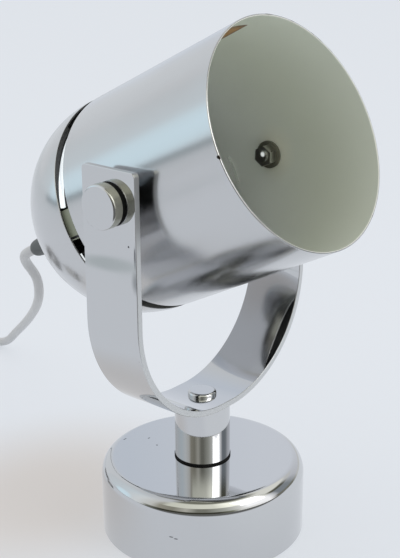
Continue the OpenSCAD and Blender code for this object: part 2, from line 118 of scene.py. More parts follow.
# towards the window pane that the chrome mirrors
PANE = Vector((-0.56, 0.82, 0.12)).normalized()
# floor and background as the camera sees them, and the shadow painted on the floor beside the lamp
PAPER = (0.775, 0.807, 0.855)
SHADOW_PAINT = (0.66, 0.63, 0.61)
BLACK = (0.0, 0.0, 0.0)
# burnt patch inside the mouth: from and to, sideways and along the head's axis, in millimetres
BURN = ((-12.0, 6.5), (18.0, 44.8))
# a painted lighter ring on the paint round the far nut and the painted highlight on its stud: centre and
# half sizes
NUT_HALO = ((46.5, -3.2, 160.5), (14.0, 12.0, 15.0))
STUD_GLINT = ((40.4, -0.75, 160.2), (1.4, 1.4, 1.4))


# shader maths
class Value:
    """A node socket that takes part in Python sums."""

    def __init__(self, tree, socket):
        self.tree = tree
        self.socket = socket

    def _maths(self, operation, first, second):
        return self.tree.node("ShaderNodeMath", {0: first, 1: second}, operation=operation)

    def __add__(self, other):
        return self._maths("ADD", self, other)

    def __radd__(self, other):
        return self._maths("ADD", other, self)

    def __sub__(self, other):
        return self._maths("SUBTRACT", self, other)

    def __rsub__(self, other):
        return self._maths("SUBTRACT", other, self)

    def __mul__(self, other):
        return self._maths("MULTIPLY", self, other)

    def __rmul__(self, other):
        return self._maths("MULTIPLY", other, self)

    def __truediv__(self, other):
        return self._maths("DIVIDE", self, other)

    def above(self, limit):
        return self._maths("GREATER_THAN", self, limit)

    def below(self, limit):
        return self._maths("LESS_THAN", self, limit)

    def least(self, other):
        return self._maths("MINIMUM", self, other)

    def most(self, other):
        return self._maths("MAXIMUM", self, other)

    def ramp(self, low, high):
        """0 at low, 1 at high, eased between; low may be the larger."""
        ins = {"Value": self, "From Min": low, "From Max": high}
        return self.tree.node("ShaderNodeMapRange", ins, interpolation_type="SMOOTHSTEP")


class Tree:
    """A node tree that is filled through one method."""

    def __init__(self, owner):
        owner.use_nodes = True
        self.tree = owner.node_tree
        self.tree.nodes.clear()

    def node(self, kind, inputs=None, output=0, **settings):
        """Makes a node and gives its output, or the node itself where output is None."""
        item = self.tree.nodes.new(kind)
        stops = settings.pop("stops", None)
        for key, value in settings.items():
            setattr(item, key, value)
        if stops:
            ramp = item.color_ramp.elements
            while len(ramp) < len(stops):
                ramp.new(0.5)
            for element, (place, colour) in zip(ramp, stops):
                element.position = place
                element.color = (*colour, 1.0)
        for key, value in (inputs or {}).items():
            socket = item.inputs[key]
            if isinstance(value, Value):
                self.tree.links.new(value.socket, socket)
            else:
                if socket.type == "RGBA" and len(value) == 3:
                    value = (*value, 1.0)
                socket.default_value = value
        if output is None or not item.outputs:
            return item
        return Value(self, item.outputs[output])

    def place(self):
        return self.node("ShaderNodeTexCoord", output="Object")

    def parts(self, vector):
        item = self.node("ShaderNodeSeparateXYZ", {0: vector}, output=None)
        return [Value(self, out) for out in item.outputs]

    def ray(self, kind):
        """1 for a ray of that kind, such as Camera or Glossy."""
        return self.node("ShaderNodeLightPath", output="Is " + kind + " Ray")

    def noise(self, vector, scale, detail=3.0, rough=0.5):
        ins = {"Vector": vector, "Scale": scale, "Detail": detail, "Roughness": rough}
        return self.node("ShaderNodeTexNoise", ins)

    def blend(self, factor, first, second):
        ins = {0: factor, 6: first, 7: second}
        return self.node("ShaderNodeMix", ins, output=2, data_type="RGBA")

    def dot(self, vector, direction):
        ins = {0: vector, 1: tuple(direction)}
        return self.node("ShaderNodeVectorMath", ins, output=1, operation="DOT_PRODUCT")

    def spot(self, place, centre, half):
        """0 at the centre of an ellipsoid, 1 on its surface; sizes in millimetres."""
        near = self.node("ShaderNodeVectorMath", {0: place, 1: tuple(c * MM for c in centre)},
                         operation="SUBTRACT")
        unit = self.node("ShaderNodeVectorMath", {0: near, 1: tuple(h * MM for h in half)},
                         operation="DIVIDE")
        return self.node("ShaderNodeVectorMath", {0: unit}, output=1, operation="LENGTH")

    def nearest(self, place, items):
        """Reach from the nearest of several ellipsoids, 1 on its surface."""
        best = None
        for centre, half in items:
            reach = self.spot(place, centre, half)
            best = reach if best is None else best.least(reach)
        return best

    def marks(self, place, items):
        """A mask of small ellipsoid marks."""
        return self.nearest(place, items).below(1.0)

    def head_axes(self, place):
        """Side, up and along values of the tilting head, in metres."""
        side, _, _ = self.parts(place)
        along = self.dot(place, AHEAD) - PIVOT.dot(AHEAD)
        up = self.dot(place, UPWARD) - PIVOT.dot(UPWARD)
        return side, up, along

    def vector(self, x, y, z):
        return self.node("ShaderNodeCombineXYZ", {"X": x, "Y": y, "Z": z})

    def bump(self, height, strength):
        ins = {"Height": height, "Strength": strength, "Distance": 0.0003}
        return self.node("ShaderNodeBump", ins)

    def surface(self, **sockets):
        """The finish, by the shader's socket names in small letters."""
        names = {key.replace("_", " ").title().replace("Ior", "IOR"): v for key, v in sockets.items()}
        shader = self.node("ShaderNodeBsdfPrincipled", names)
        self.node("ShaderNodeOutputMaterial", {"Surface": shader})


def new_material(name):
    """A material and its empty tree, or no tree where the material is there already."""
    found = bpy.data.materials.get(name)
    if found:
        return found, None
    material = bpy.data.materials.new(name)
    return material, Tree(material)


def chrome():
    """Bright plating with faint wipe marks, sparse pits, the marks seen on the lamp and painted dark
    reflections on the near arm.
    """
    material, tree = new_material("polished_chrome")
    if tree:
        look = bpy.context.scene.lamp_finish
        reflection_tint, pitted = (0.34, 0.35, 0.355), (0.16, 0.16, 0.17)
        place = tree.place()
        haze = tree.noise(place, scale=38.0, detail=4.0)
        marks = tree.marks(place, CHROME_MARKS)
        pits = tree.node("ShaderNodeTexVoronoi", {"Vector": place, "Scale": 120.0}).below(0.035)
        rare = tree.noise(place, scale=30.0, detail=1.0).above(0.62)
        worn = marks.most(pits * rare)
        # painted dark reflections on the near arm
        arm_reflection = tree.nearest(place, ARM_DARK_REFLECTIONS).ramp(1.0, 0.2)
        plating = tree.blend(arm_reflection, look.chrome_colour, reflection_tint)
        colour = tree.blend(worn, plating, pitted)
        rough = haze.ramp(0.35, 0.75) * 0.03 + worn * 0.3 + look.chrome_roughness
        tree.surface(base_color=colour, metallic=1.0, roughness=rough)
    return material


def shade_chrome():
    """Softer plating of shade and dome: hazy, with faint streaks along the axis."""
    material, tree = new_material("hazy_chrome")
    if tree:
        look = bpy.context.scene.lamp_finish
        wiped_tint, chipped = (0.56, 0.545, 0.54), (0.03, 0.025, 0.02)
        place = tree.place()
        side, up, along = tree.head_axes(place)
        drawn = tree.vector(side * 60.0, up * 60.0, along * 4.0)
        streak = tree.noise(drawn, scale=1.0, detail=4.0, rough=0.6)
        cloud = tree.noise(place, scale=22.0)
        chips = tree.marks(place, RIM_CHIPS)
        wiped = streak.ramp(0.35, 0.7) * cloud.ramp(0.35, 0.65)
        tint = tree.blend(wiped * 0.35, look.chrome_colour, wiped_tint)
        colour = tree.blend(chips, tint, chipped)
        rough = streak * 0.08 + cloud * 0.05 + (look.shade_roughness - 0.06)
        tree.surface(base_color=colour, metallic=1.0, roughness=rough)
    return material


def plain(name, colour, roughness, metallic=0.0, grain=0.0, scale=300.0, specular=0.5):
    """An even finish; grain roughens it slightly."""
    material, tree = new_material(name)
    if tree:
        sockets = {"base_color": colour, "metallic": metallic, "roughness": roughness,
                   "specular_ior_level": specular}
        if grain:
            noise = tree.noise(tree.place(), scale)
            sockets["roughness"] = noise * grain + (roughness - grain / 2)
            sockets["normal"] = tree.bump(noise, strength=0.15)
        tree.surface(**sockets)
    return material


def enamel():
    """Off-white paint inside the shade, burnt brown in one patch near the mouth, with painted light:
    lighter further back and round the far nut.
    """
    material, tree = new_material("shade_enamel")
    if tree:
        look = bpy.context.scene.lamp_finish
        burnt, browned = (0.22, 0.12, 0.06), (0.50, 0.26, 0.085)
        nut_glow_tint, deep_lightened = (0.86, 0.86, 0.74), (0.95, 0.98, 0.93)
        place = tree.place()
        grain = tree.noise(place, scale=160.0)
        side, up, along = tree.head_axes(place)
        ragged = tree.noise(place, scale=400.0, detail=2.0) * 0.0008 - 0.0004
        patch = up.above(0.0)
        for value, (low, high) in zip((side + ragged, along + ragged), BURN):
            patch = patch * value.above(low * MM) * value.below(high * MM)
        # the patch is lighter in its middle
        core = (side.ramp(0.0065, 0.0045) * along.ramp(0.0448, 0.040)).least(along.ramp(0.028, 0.034))
        brown = tree.blend(core, burnt, browned)
        # painted highlight: a lighter ring on the wall round the far nut
        halo = tree.spot(place, *NUT_HALO).ramp(1.0, 0.3)
        # painted light: the paint is made lighter further back in the shade
        deep = tree.blend(along.ramp(0.030, -0.020), look.enamel_colour, deep_lightened)
        paint = tree.blend(halo, deep, nut_glow_tint)
        colour = tree.blend(patch, paint, brown)
        tree.surface(base_color=colour, roughness=grain * 0.06 + 0.39,
                     normal=tree.bump(grain, strength=0.12))
    return material


def rim_paint():
    """The paint that wraps round the shade's edge."""
    return plain("rim_paint", (0.86, 0.86, 0.78), roughness=0.35)


def dome_painted_shade():
    """The dome's inside and its cut edge, painted near black as shade."""
    return plain("dome_shade_paint", (0.035, 0.035, 0.037), roughness=0.5, grain=0.1)


def steel():
    return plain("plated_steel", (0.56, 0.56, 0.54), roughness=0.3, metallic=1.0, grain=0.12, scale=500.0)


def old_steel():
    return plain("dulled_steel", (0.20, 0.20, 0.19), roughness=0.42, metallic=1.0, grain=0.16, scale=500.0)


def dark_washer():
    """The washers inside the shade, darker than the nuts."""
    return plain("dark_washer", (0.22, 0.215, 0.17), roughness=0.4, metallic=0.5)


def stud_steel():
    """Plated steel; the stud's domed end inside the shade has a painted glowing highlight."""
    material, tree = new_material("stud_steel")
    if tree:
        painted_glint = tree.spot(tree.place(), *STUD_GLINT).ramp(1.0, 0.4)
        tree.surface(base_color=(0.50, 0.51, 0.49), metallic=1.0, roughness=0.3,
                     emission_color=tree.blend(painted_glint, BLACK, (0.62, 0.66, 0.64)), emission_strength=1.0)
    return material


def bridge_steel():
    """Brushed strip; its two feet carry paint. The far foot's face is painted lighter where shade falls
    and its front end darker where light falls; the near one shows in the slit, painted dark as shade at
    its lower end and glowing with painted light above.
    """
    material, tree = new_material("bridge_strip")
    if tree:
        shaded, olive = (0.02, 0.02, 0.02), (0.22, 0.235, 0.18)
        face_lightened, end_darkened = (0.98, 1.0, 0.96), (0.63, 0.65, 0.61)
        place = tree.place()
        side, up, along = tree.head_axes(place)
        brush = tree.vector(side * 300.0, up * 300.0, along * 3000.0)
        grain = tree.noise(brush, scale=1.0)
        far_foot = side.above(0.025) * along.above(-0.0297)
        near_foot = side.below(-0.040)
        # roughly degrees round the head's axis; the slit's lower end is in shade
        turn = up / (0.0 - side) * (180 / math.pi)
        lit = turn.above(-6.5)
        brushed = tree.blend(grain.ramp(0.3, 0.7), (0.30, 0.33, 0.27), (0.46, 0.49, 0.42))
        # painted shade below that turn, and above it a painted olive tone
        near_light_and_shade = tree.blend(lit, shaded, olive)
        # the far foot's face is painted lighter where it lies in shade, and its front end darker where
        # light falls on it
        far_paint_and_light = tree.blend(along.above(-0.0218), face_lightened, end_darkened)
        colour = tree.blend(far_foot, tree.blend(near_foot, brushed, near_light_and_shade), far_paint_and_light)
        # a painted glow where the near foot is lit
        glow = tree.blend(near_foot * lit, BLACK, (0.045, 0.05, 0.035))
        tree.surface(base_color=colour, metallic=1.0 - far_foot.most(near_foot),
                     roughness=grain * 0.15 + 0.32, emission_color=glow, emission_strength=1.0)
    return material


def vent_light_and_shade():
    """White band with a painted glow, as the slit frames it from the front left, painted dark as shade
    where the shell shades it.
    """
    material, tree = new_material("vent_band")
    if tree:
        shaded, white = (0.03, 0.03, 0.03), (0.90, 0.92, 0.93)
        outer = bpy.context.scene.lamp_sizes.shade_radius
        slant = 0.965
        place = tree.place()
        side, up, along = tree.head_axes(place)
        turn = tree.node("ShaderNodeMath", {0: up, 1: 0.0 - side}, operation="ARCTAN2") * (180 / math.pi)
        radius = tree.node("ShaderNodeMath", {0: side * side + up * up}, operation="SQRT")
        # where the line of sight to this place crosses the shade's surface
        seen = along + (outer - radius) * slant * radius / (0.0 - side)
        # the band's two edges along the axis; the front one falls away below 25 degrees
        rear = (turn - 12.7) * 0.0000841 - 0.03405
        front = (25.0 - turn).most(0.0) * -0.00012 - 0.0296
        band = turn.above(0.0) * turn.below(54.5) * seen.above(rear) * seen.below(front)
        lower = turn.below(-10.0) * turn.above(-30.0) * seen.below(-0.0337)
        lit = band.most(lower)
        # the band glows with painted light, and the rest is painted dark as shade
        tree.surface(base_color=tree.blend(lit, shaded, white), roughness=0.38,
                     emission_color=tree.blend(lit, BLACK, (0.52, 0.56, 0.58)), emission_strength=1.0)
    return material


def black_plastic():
    return plain("black_plastic", (0.010, 0.010, 0.011), roughness=0.55, grain=0.08)


def black_washer():
    return plain("black_washer", (0.004, 0.004, 0.004), roughness=0.7, specular=0.2)


def knob_side():
    """The knobs' duller rims."""
    return plain("knob_side", (0.42, 0.42, 0.36), roughness=0.24, metallic=0.55, grain=0.05)


def strip_edge():
    """The yoke strip's narrow sides, less bright than its faces."""
    return plain("strip_edge", (0.63, 0.64, 0.645), roughness=0.3, metallic=0.6)


def brass():
    return plain("plain_brass", (0.72, 0.53, 0.25), roughness=0.28, metallic=1.0, grain=0.1)


def rubber():
    look = bpy.context.scene.lamp_finish
    return plain("grey_sleeve", look.sleeve_colour, roughness=0.5, grain=0.1)


def cord_plastic():
    look = bpy.context.scene.lamp_finish
    return plain("cord_sheath", look.cord_colour, roughness=0.36, grain=0.06, scale=400.0)


# mesh helpers
def arc(centre_r, centre_z, radius, start, stop, steps):
    """Points of an arc in a profile, angles in degrees from the radial axis."""
    turn = [math.radians(start + (stop - start) * i / steps) for i in range(steps + 1)]
    return [(centre_r + radius * math.cos(a), centre_z + radius * math.sin(a)) for a in turn]


def softened(corners):
    """Rounds each corner of a profile that has a third value, the radius."""
    result = []
    count = len(corners)
    for i, corner in enumerate(corners):
        if len(corner) < 3:
            result.append(corner)
            continue
        radius = corner[2]
        here = Vector(corner[:2])
        before = (Vector(corners[i - 1][:2]) - here).normalized()
        after = (Vector(corners[(i + 1) % count][:2]) - here).normalized()
        half = before.angle(after) / 2
        reach = radius / math.tan(half)
        middle = here + (before + after).normalized() * (radius / math.sin(half))
        first, last = here + before * reach - middle, here + after * reach - middle
        for k in range(ROUND_STEPS + 1):
            turn = Matrix.Rotation(first.angle_signed(last) * k / ROUND_STEPS, 2)
            result.append(tuple(middle + first @ turn))
    return result


def finish_mesh(bm, place=Matrix.Identity(4)):
    """Closes seams, turns faces outwards, puts the form in place and keeps its edges crisp."""
    bmesh.ops.remove_doubles(bm, verts=bm.verts, dist=MERGE)
    bmesh.ops.recalc_face_normals(bm, faces=bm.faces)
    bmesh.ops.transform(bm, matrix=place, verts=bm.verts)
    for face in bm.faces:
        face.smooth = True
    for edge in bm.edges:
        if len(edge.link_faces) != 2:
            continue
        bend = edge.calc_face_angle(0.0)
        small, large = sorted(face.calc_area() for face in edge.link_faces)
        # a broad face keeps its own normals beside a narrow bevel, so its reflections stay true
        if bend > SHARP or (bend > SLIGHT and large > BROAD * small):
            edge.smooth = False


def turned(profile, place=Matrix.Identity(4), steps=192, closed=True):
    """A turned form: the profile is in millimetres, radius then height."""
    bm = bmesh.new()
    points = [bm.verts.new((r * MM, 0.0, z * MM)) for r, z in profile]
    pairs = list(zip(points, points[1:]))
    if closed:
        pairs.append((points[-1], points[0]))
    edges = [bm.edges.new(pair) for pair in pairs]
    bmesh.ops.spin(
        bm, geom=points + edges, cent=(0, 0, 0), axis=(0, 0, 1),
        angle=math.tau, steps=steps, use_merge=True,
    )
    finish_mesh(bm, place)
    return bm


def swept(line, radius, sides=16):
    """A round bar along a line in metres, closed at both ends."""
    bm = bmesh.new()
    ways = [(b - a).normalized() for a, b in zip(line, line[1:])]
    ways = [ways[0], *((a + b).normalized() for a, b in zip(ways, ways[1:])), ways[-1]]
    bmesh.ops.create_circle(bm, radius=radius, segments=sides)
    turn = Vector((0, 0, 1)).rotation_difference(ways[0]).to_matrix().to_4x4()
    bmesh.ops.transform(bm, matrix=Matrix.Translation(line[0]) @ turn, verts=bm.verts)
    rim = list(bm.edges)
    for a, b, before, after in zip(line, line[1:], ways, ways[1:]):
        grown = bmesh.ops.extrude_edge_only(bm, edges=rim)["geom"]
        rim = [item for item in grown if isinstance(item, bmesh.types.BMEdge) and item.is_boundary]
        ring = [item for item in grown if isinstance(item, bmesh.types.BMVert)]
        turn = before.rotation_difference(after).to_matrix().to_4x4()
        bmesh.ops.transform(bm, matrix=Matrix.Translation(b) @ turn @ Matrix.Translation(-a), verts=ring)
    bmesh.ops.holes_fill(bm, edges=[edge for edge in bm.edges if edge.is_boundary], sides=0)
    finish_mesh(bm)
    return bm


def add_piece(name, bm, body, materials, replaced=()):
    """A new piece that rides on the body, or on none."""
    mesh = bpy.data.meshes.new(name)
    bm.to_mesh(mesh)
    bm.free()
    for material in materials:
        mesh.materials.append(material)
    piece = bpy.data.objects.new(name, mesh)
    bpy.context.scene.collection.objects.link(piece)
    if replaced:
        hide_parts(*replaced)
    if body:
        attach(piece, body)
    return piece


def dress(material, *names):
    """Gives the frame's own pieces a better finish."""
    for name in names:
        for item in NODES[name].material_slots:
            item.material = material


# cord route, in millimetres
SLEEVE_END = 115.1  # from the pivot to the sleeve's end
FREE_STEPS = 5  # between two points of the stretch before the coil
LYING_GAP = 0.02  # under a cord that lies on the surface
COIL_X, COIL_Y, COIL_RADIUS = -28.0, 227.0, 33.0
COIL_TURNS, COIL_LAYERS, TURN_STEPS = 8.25, 4, 36
COIL_SPACE = 0.62  # between the coil's turns
TAIL_LENGTH, TAIL_STEPS = 34.0, 16
PLUG_HEIGHT = 6.85  # of the cord's end in the plug


def through(points, steps):
    """A smooth line through the points, as the part's source draws it."""
    pts = [Vector(p) for p in points]
    ends = [2 * pts[0] - pts[1]] + pts + [2 * pts[-1] - pts[-2]]
    line = []
    for a, b, c, d in zip(ends, ends[1:], ends[2:], ends[3:]):
        for k in range(steps):
            t = k / steps
            line.append(0.5 * (2 * b + (c - a) * t + (2 * a - 5 * b + 4 * c - d) * t * t
                               + (3 * b - a - 3 * c + d) * t ** 3))
    return line + [pts[-1]]


def ease(x):
    """0 up to 0, 1 from 1 on, smooth between."""
    x = min(max(x, 0.0), 1.0)
    return x * x * (3 - 2 * x)


def coil_line(low, step):
    """The coil's turns: inwards and outwards by layers, each higher than the last."""
    span = COIL_TURNS / COIL_LAYERS
    count = round(COIL_TURNS * TURN_STEPS)
    loops = []
    for i in range(count + 1):
        wound = COIL_TURNS * i / count
        layer = wound / span
        inwards = layer - 2 * math.floor(layer / 2)
        radius = COIL_RADIUS - step * span * (inwards if inwards <= 1 else 2 - inwards)
        climb = sum(ease((wound - k * span + 0.25) / 0.5) for k in range(1, COIL_LAYERS))
        angle = math.radians(90 + 360 * wound)
        loops.append(Vector((COIL_X + radius * math.cos(angle),
                             COIL_Y + radius * math.sin(angle), low + step * climb)))
    return loops


def cord_line(diameter):
    """The whole cord in millimetres: sleeve, surface, coil and plug."""
    low = diameter / 2 + LYING_GAP
    leave = Vector((0.0, 0.0, PIVOT_HEIGHT)) - SLEEVE_END * AHEAD
    top = COIL_Y + COIL_RADIUS
    free = [
        leave, leave - 5 * AHEAD, (2.4, 112.6, 100.2), (8.4, 118.2, 94.0), (17.0, 121.4, 83.4),
        (23.8, 127.6, 72.0), (34.0, 141.0, 59.5), (46.5, 159.0, 46.3), (58.5, 178.5, 32.6),
        (68.0, 198.0, 18.8), (74.5, 214.0, 7.2), (76.8, 227.0, low), (77.0, 238.0, low),
        (75.3, 246.4, low), (70.6, 253.6, low), (63.4, 258.3, low), (55.0, top, low),
        (40.0, top, low), (25.0, top, low), (10.0, top, low), (-6.0, top, low),
        (COIL_X + diameter, top, low),
    ]
    loops = coil_line(low, diameter + COIL_SPACE)
    start = loops[-1] - Vector((0.0, diameter, 0.0))
    tail = []
    for i in range(TAIL_STEPS + 1):
        u = i / TAIL_STEPS
        drop = (PLUG_HEIGHT - start.z) * ease((u - 0.08) / 0.84)
        tail.append(start + Vector((0.0, -TAIL_LENGTH * u, drop)))
    return through(free, FREE_STEPS) + loops + tail


# settings
class LampSizes(bpy.types.PropertyGroup):
    cup_radius: FloatProperty(name="Cup radius", description="Outer radius of the wall cup",
                              default=0.0445, unit="LENGTH")
    cup_height: FloatProperty(name="Cup height", description="Height of the wall cup",
                              default=0.0328, unit="LENGTH")
    cup_edge: FloatProperty(name="Cup edge", description="Radius of the cup's rounded top edge",
                            default=0.0056, unit="LENGTH")
    cup_drop: FloatProperty(name="Cup drop", description="Height over which the cup's edge rounds off",
                            default=0.0072, unit="LENGTH")
    stem_radius: FloatProperty(name="Stem radius", description="Outer radius of the stem",
                               default=0.01205, unit="LENGTH")
    strip_width: FloatProperty(name="Strip width", description="Width of the yoke's strip",
                               default=0.0275, unit="LENGTH")
    strip_thickness: FloatProperty(name="Strip thickness", description="Thickness of the yoke's strip",
                                   default=0.0026, unit="LENGTH")
    shade_radius: FloatProperty(name="Shade radius", description="Outer radius of shade and dome",
                                default=0.0475, unit="LENGTH")
    cup_sheet: FloatProperty(name="Cup sheet", description="Sheet thickness of the wall cup",
                             default=0.0012, unit="LENGTH")
    shade_sheet: FloatProperty(name="Shade sheet", description="Sheet thickness of shade and dome",
                               default=0.0008, unit="LENGTH")
    knob_radius: FloatProperty(name="Knob radius", description="Radius of the clamping knobs",
                               default=0.00886, unit="LENGTH")
    cord_diameter: FloatProperty(name="Cord diameter", description="Diameter of the cord",
                                 default=0.0048, unit="LENGTH")


class LampFinish(bpy.types.PropertyGroup):
    chrome_colour: FloatVectorProperty(name="Chrome", description="Tint of the plating",
                                       subtype="COLOR", default=(0.615, 0.62, 0.63))
    chrome_roughness: FloatProperty(name="Chrome roughness", description="Blur of the plating",
                                    default=0.03, subtype="FACTOR")
    shade_roughness: FloatProperty(name="Shade roughness", description="Blur of the shade's plating",
                                   default=0.17, subtype="FACTOR")
    enamel_colour: FloatVectorProperty(name="Enamel", description="Paint inside the shade",
                                       subtype="COLOR", default=(0.75, 0.78, 0.665))
    sleeve_colour: FloatVectorProperty(name="Sleeve", description="Strain relief sleeve",
                                       subtype="COLOR", default=(0.105, 0.115, 0.115))
    cord_colour: FloatVectorProperty(name="Cord", description="Sheath of cord and plug",
                                     subtype="COLOR", default=(0.60, 0.60, 0.60))


def sizes():
    """The settings in millimetres."""
    group = bpy.context.scene.lamp_sizes
    return {key: getattr(group, key) / MM for key in group.__annotations__}


# operators
class LAMP_OT_camera(bpy.types.Operator):
    """Place the camera at the photograph's view"""
    bl_idname = "lamp.camera"
    bl_label = "Camera"

    def execute(self, context):
        data = bpy.data.cameras.new("photo_camera")
        data.lens = 80.91
        data.sensor_width = 36.0
        data.clip_start, data.clip_end = 0.01, 50.0
        camera = bpy.data.objects.new("photo_camera", data)
        context.scene.collection.objects.link(camera)
        ahead = Vector((0.7194, 0.6085, -0.3350)).normalized()
        right = ahead.cross(Vector((0, 0, 1))).normalized()
        up = right.cross(ahead)
        roll = math.radians(-0.41)
        across = math.cos(roll) * right + math.sin(roll) * up
        upward = across.cross(ahead)
        turn = Matrix((across, upward, -ahead)).transposed()
        place = Vector((-0.3784, -0.3193, 0.2904))
        camera.matrix_world = Matrix.Translation(place) @ turn.to_4x4()
        context.scene.camera = camera
        return {"FINISHED"}


class LAMP_OT_cord(bpy.types.Operator):
    """Lay the cord from the sleeve to the coil and the plug"""
    bl_idname = "lamp.cord"
    bl_label = "Cord"

    def execute(self, context):
        diameter = sizes()["cord_diameter"]
        line = [p * MM for p in cord_line(diameter)]
        cord = add_piece("cord", swept(line, diameter * MM / 2), None, [cord_plastic()],
                         ["cord_run", "cord_coil", "cord_tail"])
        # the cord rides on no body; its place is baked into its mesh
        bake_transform(cord)
        diameter * MM
        return {"FINISHED"}


class LAMP_OT_cup(bpy.types.Operator):
    """Turn the wall cup"""
    bl_idname = "lamp.cup"
    bl_label = "Wall cup"

    def execute(self, context):
        lamp = sizes()
        radius, height, sheet = lamp["cup_radius"], lamp["cup_height"], lamp["cup_sheet"]
        edge, drop = lamp["cup_edge"], lamp["cup_drop"]
        hole, straight, foot_round = 3.05, 8.0, 0.4
        level = height - drop
        # the edge is an ellipse: as wide as edge and as high as drop
        outside = [(x, level + z * drop / edge)
                   for x, z in arc(radius - edge, 0.0, edge, 90, 0, 24)]
        inside = [(x, level + z * (drop - sheet) / (edge - sheet))
                  for x, z in arc(radius - edge, 0.0, edge - sheet, 0, 90, 12)]
        foot = softened([(radius, straight), (radius, 0.0, foot_round),
                         (radius - sheet, 0.0, foot_round), (radius - sheet, straight)])
        profile = [(hole, height), *outside, *foot, *inside, (hole, height - sheet)]
        add_piece("wall_cup", turned(profile, steps=256), "base", [chrome()], ["base_cup"])
        dress(steel(), "wall_bracket")
        return {"FINISHED"}


class LAMP_OT_stem(bpy.types.Operator):
    """Turn the stem and finish its washer and nut"""
    bl_idname = "lamp.stem"
    bl_label = "Stem"

    def execute(self, context):
        radius = sizes()["stem_radius"]
        foot, top, wall, foot_round = 33.05, 60.2, 1.5, 0.3
        profile = softened([(radius, foot, foot_round), (radius, top), (radius - wall, top),
                            (radius - wall, foot)])
        add_piece("stem_tube", turned(profile), "yoke", [chrome()], ["stem"])
        dress(black_washer(), "stem_washer", "knob_washers", "pivot_bushes")
        dress(steel(), "swivel_nut", "swivel_spring_washer")
        return {"FINISHED"}


class LAMP_OT_yoke(bpy.types.Operator):
    """Bend the yoke's strip and turn the screw that holds it"""
    bl_idname = "lamp.yoke"
    bl_label = "Yoke"

    def execute(self, context):
        lamp = sizes()
        thickness, width = lamp["strip_thickness"], lamp["strip_width"]
        half_span, half_flat, low, high = 54.0, 3.2, 59.2, 173.0
        corner_round, edge_round = 2.0, 0.25
        radius = half_span - half_flat
        centre = low + radius
        # the strip's outline from the front, then its width, thickness and rounded rims
        bm = bmesh.new()
        line = arc(half_flat, centre, radius, -90, 0, 40)
        line += [(half_span, centre + (high - centre) * k / 12) for k in range(1, 13)]
        line = [(-x, z) for x, z in reversed(line)] + line
        points = [bm.verts.new((x * MM, -width / 2 * MM, z * MM)) for x, z in line]
        edges = [bm.edges.new(pair) for pair in zip(points, points[1:])]
        made = bmesh.ops.extrude_edge_only(bm, edges=edges)["geom"]
        far = [v for v in made if isinstance(v, bmesh.types.BMVert)]
        bmesh.ops.translate(bm, vec=(0, width * MM, 0), verts=far)
        corners = [v for v in bm.verts if abs(v.co.z - high * MM) < 1e-6]
        bmesh.ops.bevel(bm, geom=corners, offset=corner_round * MM, offset_type="OFFSET",
                        affect="VERTICES", segments=10, profile=0.5, material=-1)
        bmesh.ops.recalc_face_normals(bm, faces=bm.faces)
        middle = min(bm.faces, key=lambda f: f.calc_center_median().z)
        if middle.normal.z > 0:
            bmesh.ops.reverse_faces(bm, faces=bm.faces)
        bmesh.ops.solidify(bm, geom=bm.faces[:], thickness=thickness * MM)
        bmesh.ops.remove_doubles(bm, verts=bm.verts, dist=MERGE)
        rims = [e for e in bm.edges if len(e.link_faces) == 2 and e.calc_face_angle(0.0) > 1.0]
        bmesh.ops.bevel(bm, geom=rims, offset=edge_round * MM, offset_type="OFFSET", affect="EDGES",
                        segments=3, profile=0.5, material=-1, clamp_overlap=True)
        finish_mesh(bm)
        for face in bm.faces:
            if abs(face.normal.y) > 0.6:
                face.material_index = 1
        add_piece("yoke_strip", bm, "yoke", [chrome(), strip_edge()], ["yoke"])

        head_radius, head_round, shank_radius = 6.2, 1.2, 3.0
        top, seat, end = 63.7, 61.8, 21.4
        screw = softened([(0.0, top), (head_radius, top, head_round), (head_radius, seat),
                          (shank_radius, seat), (shank_radius, end), (0.0, end)])
        add_piece("swivel_screw", turned(screw, steps=96, closed=False), "yoke", [chrome()],
                  ["yoke_screw"])
        return {"FINISHED"}


class LAMP_OT_shade(bpy.types.Operator):
    """Turn the shade tube, painted inside"""
    bl_idname = "lamp.shade"
    bl_label = "Shade"

    def execute(self, context):
        lamp = sizes()
        radius, bore = lamp["shade_radius"], lamp["shade_radius"] - lamp["shade_sheet"]
        rear, mouth, rear_round, mouth_round = -29.7, 54.5, 0.2, 0.35
        # the edge behind rear_paint is painted, and the rim before mouth_edge has its own paint
        rear_paint, mouth_edge = -29.6, 54.16
        profile = softened([(radius, rear, rear_round), (radius, mouth, mouth_round),
                            (bore, mouth, mouth_round), (bore, rear, rear_round)])
        bm = turned(profile, HEAD, steps=256)
        for face in bm.faces:
            middle = face.calc_center_median() - PIVOT
            along = middle.dot(AHEAD)
            spoke = middle - AHEAD * along
            if face.normal.dot(spoke) < -1e-5 or along < rear_paint * MM:
                face.material_index = 2 if along > mouth_edge * MM else 1
        add_piece("shade_tube_shell", bm, "head",
                  [shade_chrome(), enamel(), rim_paint()], ["shade_tube"])
        return {"FINISHED"}


class LAMP_OT_dome(bpy.types.Operator):
    """Turn the domed back and finish what shows in the gap before it"""
    bl_idname = "lamp.dome"
    bl_label = "Rear dome"

    def execute(self, context):
        lamp = sizes()
        radius, bore = lamp["shade_radius"], lamp["shade_radius"] - lamp["shade_sheet"]
        front, centre, rim_round = -35.1, -36.6, 0.2
        # the shell ends round the sleeve, a little further in on its outside
        outside = arc(0.0, centre, radius, 0, -83.8, 56)
        inside = arc(0.0, centre, bore, -83.6, 0, 40)
        rim = softened([(bore, centre), (bore, front, rim_round), (radius, front, rim_round),
                        (radius, centre)])
        bm = turned(outside + inside + rim[1:-1], HEAD, steps=256)
        for face in bm.faces:
            middle = face.calc_center_median() - PIVOT - AHEAD * centre * MM
            along = middle.dot(AHEAD)
            out = middle if along < 0 else middle - AHEAD * along
            if face.normal.dot(out.normalized()) < 0.5:
                face.material_index = 1
        add_piece("dome_shell", bm, "head", [shade_chrome(), dome_painted_shade()], ["rear_dome"])
        dress(vent_light_and_shade(), "vent_ring")
        dress(bridge_steel(), "holder_bridge")
        return {"FINISHED"}


